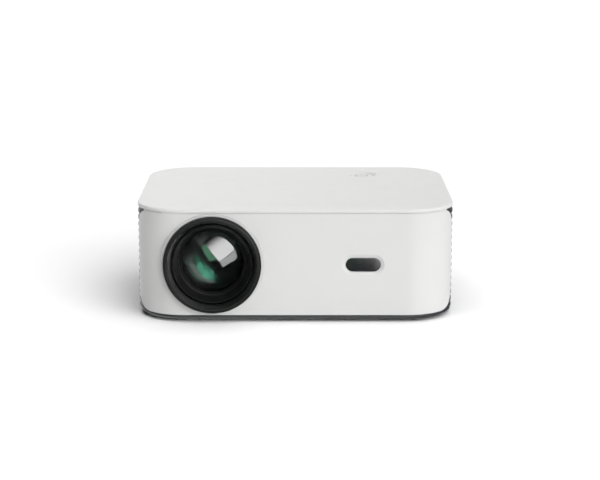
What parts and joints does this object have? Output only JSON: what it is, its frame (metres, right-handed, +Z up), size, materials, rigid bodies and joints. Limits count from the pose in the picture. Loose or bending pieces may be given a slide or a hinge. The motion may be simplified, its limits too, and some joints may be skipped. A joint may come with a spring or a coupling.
{
  "type": "home projector",
  "caption": "Compact home projector with a rounded white cover and front panel, dark ribbed sides, a turning focus ring round a coated lens, a power button, fans and rear sockets.",
  "frame": {"origin": "on the table, under the middle of the whole object's box, focus ring included", "axes": "+X to the right seen from the front, +Y from the front to the back, +Z up"},
  "size_m": [0.204, 0.157, 0.0734],
  "materials": {
    "white_shell": "fine satin moulded plastic",
    "dark_shell": "fine matt moulded plastic",
    "frame_black": "matt moulded plastic",
    "ring_black": "semi-gloss moulded plastic with a knurled edge",
    "barrel_black": "satin moulded plastic",
    "coated_glass": "polished, with a green anti-reflection coating",
    "inner_glass": "polished",
    "window_smoke": "polished infra-red smoke plastic",
    "foot_rubber": "matt rubber",
    "zinc_screw": "zinc plated",
    "brass_insert": "turned",
    "board_green": "glass-fibre board with solder mask",
    "chip_black": "moulded epoxy",
    "socket_metal": "bright plated",
    "jack_plastic": "moulded",
    "jack_yellow": "moulded",
    "sink_aluminium": "extruded",
    "mirror_face": "front-silvered",
    "reflector_metal": "bright",
    "fresnel_acrylic": "moulded acrylic",
    "display_glass": "polarised",
    "lamp_board": "copper-cored board",
    "fan_black": "moulded",
    "filter_foam": "open foam",
    "cone_paper": "pressed paper",
    "ribbon_film": "polyimide film",
    "lead_red": "soft sheath"
  },
  "bodies": {
    "housing": {"top_cover": "white_shell", "front_panel": "white_shell", "left_grille": "dark_shell", "right_grille": "dark_shell", "rear_panel": "dark_shell", "chassis_frame": "frame_black", "base_plate": "dark_shell", "rubber_feet": "foot_rubber", "base_screws": "zinc_screw", "tripod_insert": "brass_insert", "remote_window": "window_smoke", "remote_sensor_board": "board_green", "button_switch": "socket_metal", "button_board": "board_green", "lens_mount": "frame_black", "lens_mount_screws": "zinc_screw", "light_box": "frame_black", "light_box_lid": "frame_black", "light_box_screws": "zinc_screw", "fold_mirror": "mirror_face", "exit_fresnel": "fresnel_acrylic", "lcd_panel": "display_glass", "entry_fresnel": "fresnel_acrylic", "lcd_frame": "frame_black", "heat_glass": "inner_glass", "condenser_lens": "inner_glass", "lamp_reflector": "reflector_metal", "led_module": "lamp_board", "heat_sink": "sink_aluminium", "exhaust_fan_frame": "fan_black", "intake_fan_frame": "fan_black", "intake_filter": "filter_foam", "main_board": "board_green", "main_board_parts": "chip_black", "hdmi_socket": "socket_metal", "usb_sockets": "socket_metal", "audio_jack": "jack_plastic", "av_jack": "jack_yellow", "power_inlet": "jack_plastic", "power_board": "board_green", "power_board_parts": "chip_black", "speaker_frame": "frame_black", "speaker_cone": "cone_paper", "lcd_ribbon": "ribbon_film", "led_cable": "lead_red"},
    "focus_ring": {"focus_ring": "ring_black"},
    "lens_group": {"lens_barrel": "barrel_black", "front_lens": "coated_glass", "lens_retainer": "barrel_black", "middle_lens": "inner_glass", "rear_lens": "inner_glass", "guide_pins": "zinc_screw"},
    "button": {"power_button": "white_shell", "switch_plunger": "chip_black"},
    "exhaust_rotor": {"exhaust_fan_rotor": "fan_black"},
    "intake_rotor": {"intake_fan_rotor": "fan_black"}
  },
  "joints": [
    {"name": "focus_turn", "type": "hinge", "parent": "housing", "child": "focus_ring", "pos_m": [-0.0528, -0.0785, 0.0376], "axis": [0, 1, 0], "range_deg": [-60, 60]},
    {"name": "lens_slide", "type": "slide", "parent": "housing", "child": "lens_group", "axis": [0, 1, 0], "range_m": [-0.0015, 0.0015]},
    {"name": "button_press", "type": "slide", "parent": "housing", "child": "button", "axis": [0, 0, -1], "range_m": [0, 0.0006], "stiffness_N_per_m": 3000},
    {"name": "exhaust_spin", "type": "hinge", "parent": "housing", "child": "exhaust_rotor", "pos_m": [0.0819, 0.01, 0.0376], "axis": [1, 0, 0], "continuous": true},
    {"name": "intake_spin", "type": "hinge", "parent": "housing", "child": "intake_rotor", "pos_m": [-0.094, 0.02, 0.0376], "axis": [1, 0, 0], "continuous": true}
  ],
  "couplings": [
    {"joint": "lens_slide", "follows": "focus_turn", "m_per_rad": 0.00143}
  ]
}
